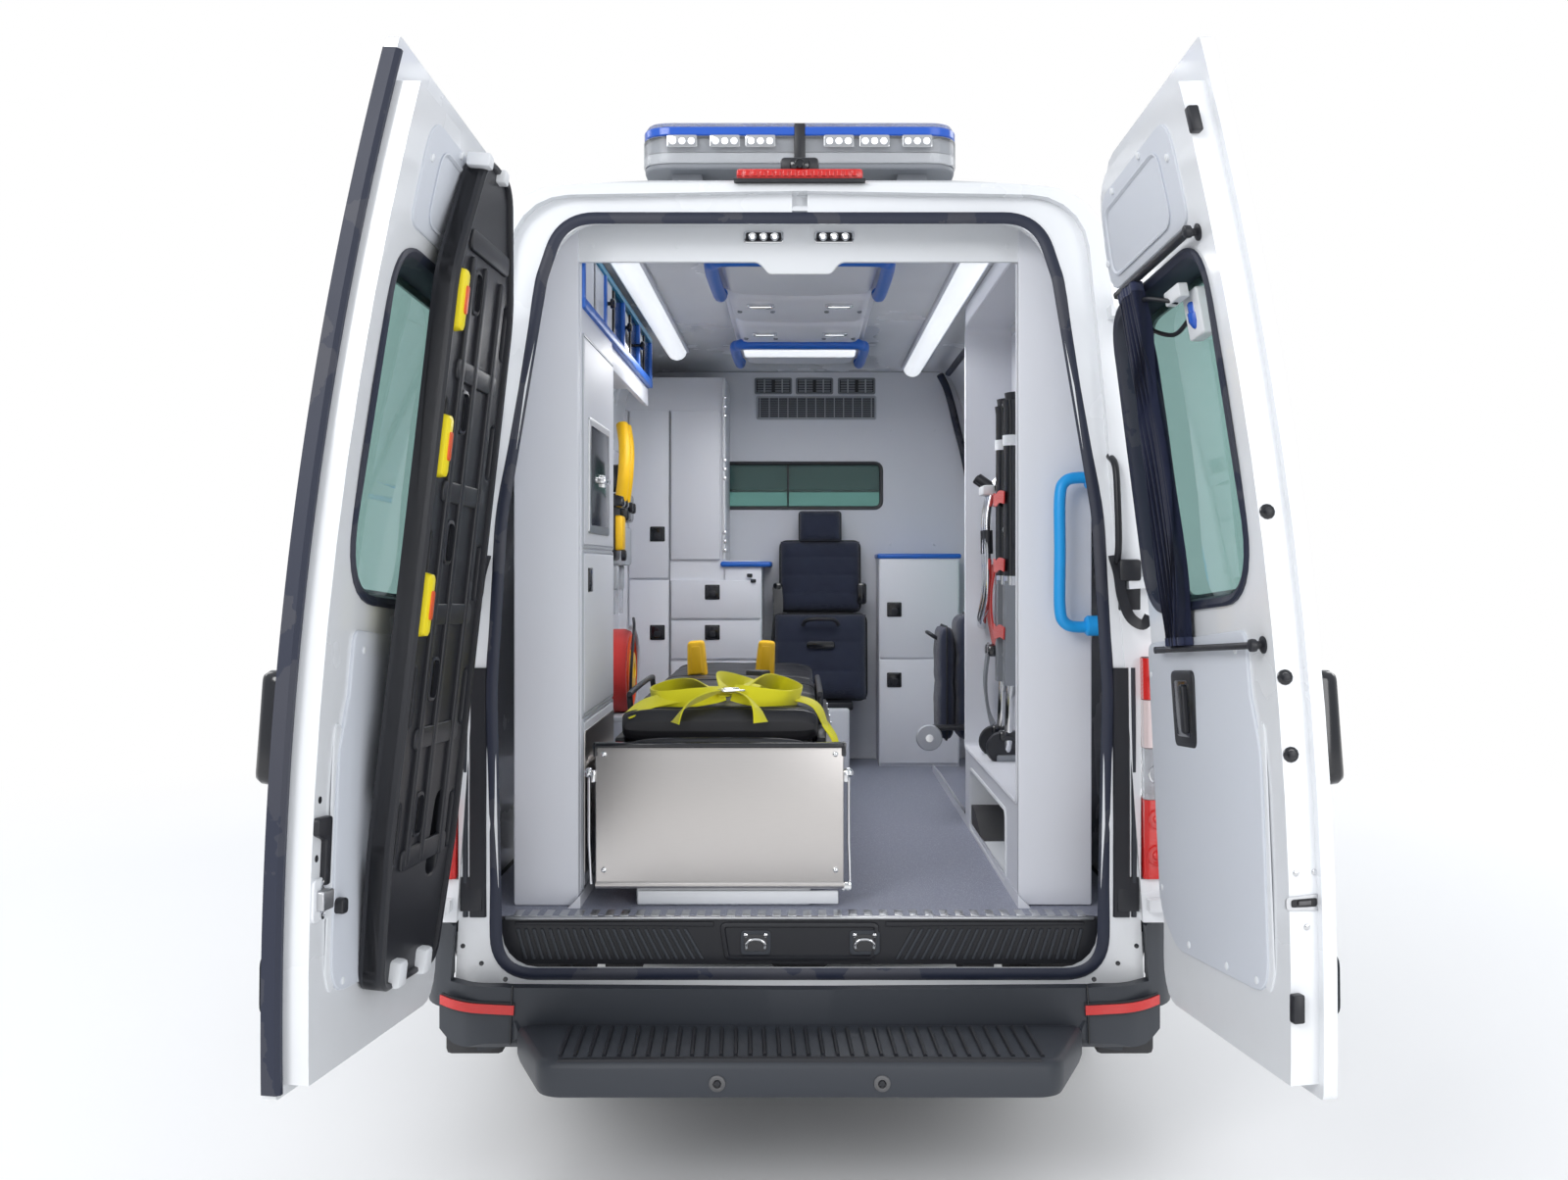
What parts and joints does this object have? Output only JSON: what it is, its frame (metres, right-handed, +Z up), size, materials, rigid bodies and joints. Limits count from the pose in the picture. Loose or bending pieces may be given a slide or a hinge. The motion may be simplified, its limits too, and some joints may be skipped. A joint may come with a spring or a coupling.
{
  "type": "ambulance van",
  "caption": "High-roof panel-van ambulance with hinged rear doors standing open on a fitted patient room, roof light bars and a folding steel loading flap.",
  "frame": {"origin": "on the ground under the middle of the vehicle, rear doors open", "axes": "+X is the front of the vehicle, +Y its left side, +Z up"},
  "size_m": [6.895, 2.43, 2.85],
  "materials": {
    "white_paint": "gloss",
    "white_cover": "satin",
    "dark_trim": "grained",
    "underbody_coat": "matt",
    "lining": "satin",
    "tinted_glass": "tinted",
    "head_lens": "clear lens over chrome",
    "rear_lens": "red lens",
    "beacon": "blue lens",
    "iron": "bare",
    "pipe": "dull",
    "stainless": "satin",
    "tube": "satin",
    "cushion": "padded vinyl",
    "seat_cover": "woven and padded",
    "curtain_cloth": "woven",
    "board": "grained",
    "chair_frame": "satin",
    "kit": "satin",
    "tyre_rim": "rubber on a steel rim"
  },
  "bodies": {
    "body": {"underbody": "underbody_coat", "side_left": "white_paint", "side_right": "white_paint", "sliding_door": "white_paint", "roof": "white_paint", "rear_frame": "white_paint", "cab_shell": "white_paint", "front_wings": "white_paint", "front_bumper": "dark_trim", "grille": "dark_trim", "headlamps": "head_lens", "fixed_glass": "tinted_glass", "bulkhead": "lining", "rear_bumper": "dark_trim", "rear_step": "dark_trim", "rear_lamps": "rear_lens", "light_bars": "beacon", "roof_unit": "white_cover", "front_subframe": "underbody_coat", "rear_axle": "underbody_coat", "engine": "iron", "exhaust_and_tank": "pipe", "dashboard": "dark_trim", "cab_seats": "seat_cover", "attendant_seat": "seat_cover", "side_seat": "seat_cover", "left_cabinets": "lining", "front_cabinets": "lining", "right_lining": "lining", "carry_chair": "chair_frame", "ceiling_unit": "lining", "wall_kit": "kit", "stretcher_table": "stainless", "stretcher": "tube", "mattress": "cushion"},
    "rear_door_left": {"rear_door_left": "white_paint", "rear_glass_left": "tinted_glass", "spine_board": "board"},
    "rear_door_right": {"rear_door_right": "white_paint", "rear_glass_right": "tinted_glass", "curtain": "curtain_cloth", "curtain_rods": "dark_trim"},
    "front_door_left": {"front_door_left": "white_paint", "front_glass_left": "tinted_glass"},
    "front_door_right": {"front_door_right": "white_paint", "front_glass_right": "tinted_glass"},
    "bonnet": {"bonnet": "white_paint"},
    "loading_flap": {"loading_flap": "stainless"},
    "steering_wheel": {"steering_wheel": "dark_trim"},
    "knuckle_left": {"knuckle_left": "underbody_coat"},
    "knuckle_right": {"knuckle_right": "underbody_coat"},
    "wheel_front_left": {"wheel_front_left": "tyre_rim"},
    "wheel_front_right": {"wheel_front_right": "tyre_rim"},
    "wheel_rear_left": {"wheel_rear_left": "tyre_rim"},
    "wheel_rear_right": {"wheel_rear_right": "tyre_rim"}
  },
  "joints": [
    {"name": "rear_door_left_hinge", "type": "hinge", "parent": "body", "child": "rear_door_left", "pos_m": [-2.495, 0.967, 0.566], "axis": [-0.01, 0.0613, -0.9981], "range_deg": [-94, 86]},
    {"name": "rear_door_right_hinge", "type": "hinge", "parent": "body", "child": "rear_door_right", "pos_m": [-2.495, -0.967, 0.566], "axis": [0.01, 0.0613, 0.9981], "range_deg": [-94, 86]},
    {"name": "front_door_left_hinge", "type": "hinge", "parent": "body", "child": "front_door_left", "pos_m": [2.059, 0.996, 0.8], "axis": [0, 0, -1], "range_deg": [0, 70]},
    {"name": "front_door_right_hinge", "type": "hinge", "parent": "body", "child": "front_door_right", "pos_m": [2.059, -0.996, 0.8], "axis": [0, 0, 1], "range_deg": [0, 70]},
    {"name": "bonnet_hinge", "type": "hinge", "parent": "body", "child": "bonnet", "pos_m": [2.617, 0, 1.322], "axis": [0, -1, 0], "range_deg": [0, 50]},
    {"name": "loading_flap_hinge", "type": "hinge", "parent": "body", "child": "loading_flap", "pos_m": [-2.265, 0, 0.746], "axis": [0, -1, 0], "range_deg": [0, 90]},
    {"name": "steer_left", "type": "hinge", "parent": "body", "child": "knuckle_left", "pos_m": [2.451, 0.775, 0.355], "axis": [0, 0, 1], "range_deg": [-36, 36]},
    {"name": "steer_right", "type": "hinge", "parent": "body", "child": "knuckle_right", "pos_m": [2.451, -0.775, 0.355], "axis": [0, 0, 1], "range_deg": [-36, 36]},
    {"name": "steering_wheel_turn", "type": "hinge", "parent": "body", "child": "steering_wheel", "pos_m": [1.795, 0.43, 1.24], "axis": [-0.8829, 0, 0.4695], "range_deg": [-504, 504]},
    {"name": "front_left_spin", "type": "hinge", "parent": "knuckle_left", "child": "wheel_front_left", "pos_m": [2.451, 0.855, 0.355], "axis": [0, 1, 0], "continuous": true},
    {"name": "front_right_spin", "type": "hinge", "parent": "knuckle_right", "child": "wheel_front_right", "pos_m": [2.451, -0.855, 0.355], "axis": [0, 1, 0], "continuous": true},
    {"name": "rear_left_spin", "type": "hinge", "parent": "body", "child": "wheel_rear_left", "pos_m": [-1.214, 0.855, 0.355], "axis": [0, 1, 0], "continuous": true},
    {"name": "rear_right_spin", "type": "hinge", "parent": "body", "child": "wheel_rear_right", "pos_m": [-1.214, -0.855, 0.355], "axis": [0, 1, 0], "continuous": true}
  ],
  "couplings": [
    {"joint": "steer_right", "follows": "steer_left", "ratio": 1},
    {"joint": "steering_wheel_turn", "follows": "steer_left", "ratio": 14}
  ]
}
